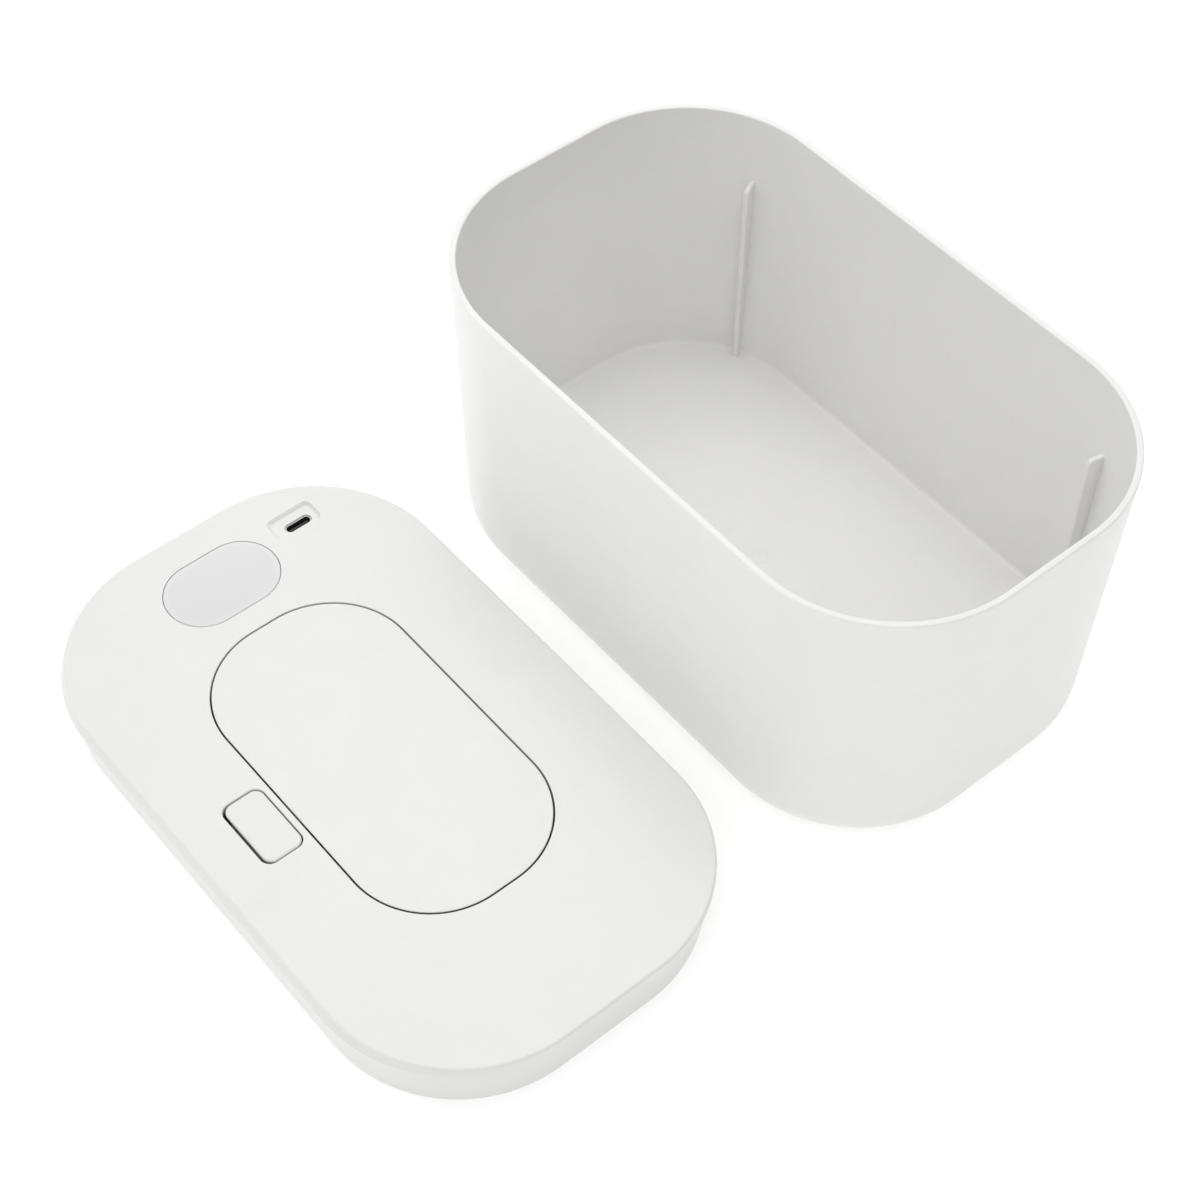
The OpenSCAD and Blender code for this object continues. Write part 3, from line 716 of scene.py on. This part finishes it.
# ---------------------------------------------------------------- button's return springs
def make_springs():
    """Two compression springs with closed ends, which the button presses; the mesh keeps their rest length."""
    b = Build()
    turns, n, k, r, wire = 6, 28, 8, 1.6, 0.25
    for s in (-12.4, 12.4):
        cx, cy = -0.6 + s, -39.81
        rings = []
        for i in range(turns * n + 1):
            t = i / n
            z = 10.9 + 0.52 * min(t, 1.0) + 1.09 * min(max(t - 1.0, 0.0), 4.0) + 0.52 * max(t - 5.0, 0.0)
            a = math.tau * t
            rings.append([b.bm.verts.new((cx + (r + wire * math.cos(q)) * math.cos(a), cy + (r + wire * math.cos(q)) * math.sin(a),
                                          z + wire * math.sin(q))) for q in (math.tau * j / k for j in range(k))])
        for u, v in zip(rings, rings[1:]):
            b.join(u, v)
        b.cap(list(reversed(rings[0])))
        b.cap(rings[-1])
    ob = b.object("button_spring_coils", (LX, LY, 0), weld=0)
    shade(ob, 60)
    ob.data.materials.append(m_spring)
    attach(ob, "lid")
    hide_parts("button_springs")
    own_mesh(ob)
    return ob


make_tub()
make_cover()
make_door()
make_button()
make_window()
make_springs()

# ---------------------------------------------------------------- CAD nodes that keep their shape
keep = {
    "base_pad": m_pad, "lid_base": m_shell, "lid_seal": m_sil, "lid_screws": m_zinc, "heater_plate": m_alu,
    "heater_film": m_film, "insulation_pad": m_foam, "heater_screws": m_zinc, "temperature_sensor": m_black,
    "sensor_leads": m_copper, "thermal_cutoff": m_ceramic, "heater_wires": m_red, "main_circuit_board": m_board,
    "board_screws": m_zinc, "control_chip": m_black, "board_capacitors": m_can, "heater_connector": m_ivory,
    "display_module": m_ivory, "touch_springs": m_brass, "usb_socket_shell": m_nickel, "usb_socket_tongue": m_black,
    "dispensing_mouth": m_sil, "door_liner": m_inner, "door_seal": m_sil, "hinge_pin": m_zinc, "door_spring": m_spring,
    "latch_slider": m_ivory,
}
for n, m in keep.items():
    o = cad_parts[n]
    o.data.materials.clear()
    o.data.materials.append(m)

# ---------------------------------------------------------------- floor, light and camera
fl = Build()
R = 2600.0
vs = [fl.bm.verts.new((x * R, y * R, 0.0)) for x, y in ((-1, -1), (1, -1), (1, 1), (-1, 1))]
fl.bm.faces.new(vs)
floor = fl.object("floor", (0, -60, -0.05), weld=0)
t = Mat("studio_floor")
t.set(rough=0.9, spec=0.1)
t.color(t.ramp(t.noise(9.0, 3.0), [(0.3, (0.93, 0.93, 0.93)), (0.7, (0.94, 0.94, 0.94))]))
t.b.inputs["Emission Color"].default_value = (1, 1, 1, 1)
t.b.inputs["Emission Strength"].default_value = 0.30
floor.data.materials.append(t.m)

sc = bpy.context.scene
w = bpy.data.worlds.new("studio")
sc.world = w
w.use_nodes = True
wn = w.node_tree.nodes
wl = w.node_tree.links
wc = wn.new("ShaderNodeTexCoord")
ws = wn.new("ShaderNodeSeparateXYZ")
wr = wn.new("ShaderNodeValToRGB")
wl.new(wc.outputs["Generated"], ws.inputs[0])
wl.new(ws.outputs["Z"], wr.inputs[0])
wr.color_ramp.elements[0].color = (0.80, 0.80, 0.80, 1.0)
wr.color_ramp.elements[1].color = (1.0, 1.0, 1.0, 1.0)
# the room is darker low down beyond the tub's right end
wd = wn.new("ShaderNodeVectorMath")
wd.operation = "DOT_PRODUCT"
wd.inputs[1].default_value = (0.95, 0.3, -0.9)
wm = wn.new("ShaderNodeMapRange")
for i, v in enumerate((-0.2, 0.9, 1.0, 0.25)):
    wm.inputs[i + 1].default_value = v
wx = wn.new("ShaderNodeMix")
wx.data_type, wx.blend_type = "RGBA", "MULTIPLY"
wx.inputs[0].default_value = 1.0
wl.new(wc.outputs["Generated"], wd.inputs[0])
wl.new(wd.outputs["Value"], wm.inputs[0])
wl.new(wr.outputs[0], wx.inputs[6])
wl.new(wm.outputs[0], wx.inputs[7])
wl.new(wx.outputs[2], wn["Background"].inputs[0])
wn["Background"].inputs[1].default_value = 0.93


def area(name, at, look, size, power, color=(1, 1, 1)):
    d = bpy.data.lights.new(name, "AREA")
    d.shape, d.size, d.energy, d.color = "SQUARE", size, power, color
    o = bpy.data.objects.new(name, d)
    COL.objects.link(o)
    o.location = at
    o.rotation_euler = (Vector(look) - Vector(at)).to_track_quat("-Z", "Y").to_euler()
    return o


area("key", (-0.21, 0.02, 0.56), (-0.06, -0.04, 0.0), 0.3, 0.46)
area("edge", (-0.344, -0.421, 0.481), (-0.03, -0.18, 0.02), 0.12, 0.12)
area("fill", (0.45, -0.42, 1.05), (0.0, 0.0, 0.0), 0.6, 0.3)
area("top", (0.05, 0.4, 1.35), (0.0, -0.04, 0.0), 0.8, 1.0)

back = Vector((0.47407, -0.39933, 0.78473)).normalized()
right = Vector((0.64424, 0.76482, 0.0)).normalized()
up = back.cross(right)
roll = math.radians(0.566)
r2 = right * math.cos(roll) + up * math.sin(roll)
u2 = up * math.cos(roll) - right * math.sin(roll)
cam = bpy.data.cameras.new("camera")
cam.lens, cam.sensor_width, cam.sensor_fit = 72.858, 36.0, "AUTO"
cam.clip_start, cam.clip_end = 0.01, 20.0
cam.dof.use_dof = False
co = bpy.data.objects.new("camera", cam)
COL.objects.link(co)
m = Matrix.Identity(4)
for i in range(3):
    m[i][0], m[i][1], m[i][2] = r2[i], u2[i], back[i]
loc = Vector((-0.01224, -0.05624, 0.0208)) + back * 0.72546
m.translation = loc
co.matrix_world = m
sc.camera = co
sc.view_settings.view_transform = "Standard"
sc.view_settings.look = "None"
sc.view_settings.exposure = 0.0
sc.view_settings.gamma = 1.0

bpy.context.view_layer.update()
